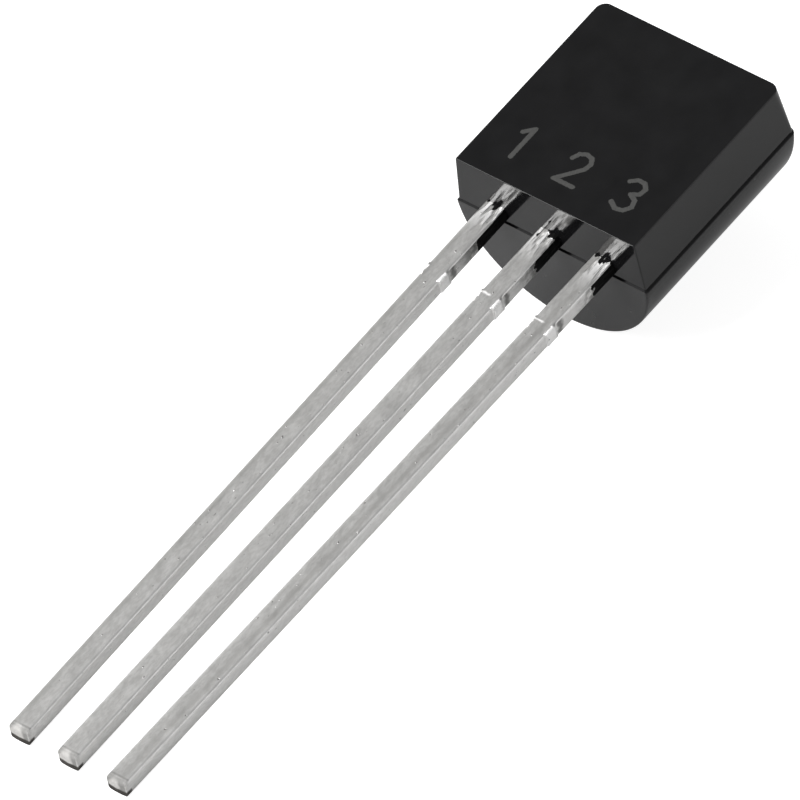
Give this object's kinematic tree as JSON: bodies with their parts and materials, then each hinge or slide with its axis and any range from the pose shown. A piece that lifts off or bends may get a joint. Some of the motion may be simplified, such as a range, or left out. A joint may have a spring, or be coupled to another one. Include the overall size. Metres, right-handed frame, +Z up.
{
  "type": "to-92 transistor",
  "caption": "Small-signal transistor in a black TO-92 case with one flat side, a half-round back and a row of long straight tinned leads.",
  "frame": {"origin": "centre of the bounding box at the bottom, on the surface that the transistor lies on", "axes": "+Z up with the flat face looking up, +Y along the leads from their tips towards the body, +X across the leads from the emitter to the collector"},
  "size_m": [0.0044, 0.0192, 0.004],
  "materials": {
    "epoxy": "satin",
    "tinned_lead": "satin",
    "die_solder": "satin",
    "silicon": "polished",
    "bond_wire": "polished"
  },
  "bodies": {
    "root": {"moulded_body": "epoxy", "emitter_lead": "tinned_lead", "base_lead": "tinned_lead", "collector_lead": "tinned_lead", "solder_layer": "die_solder", "silicon_chip": "silicon", "emitter_wire": "bond_wire", "base_wire": "bond_wire"}
  },
  "joints": []
}
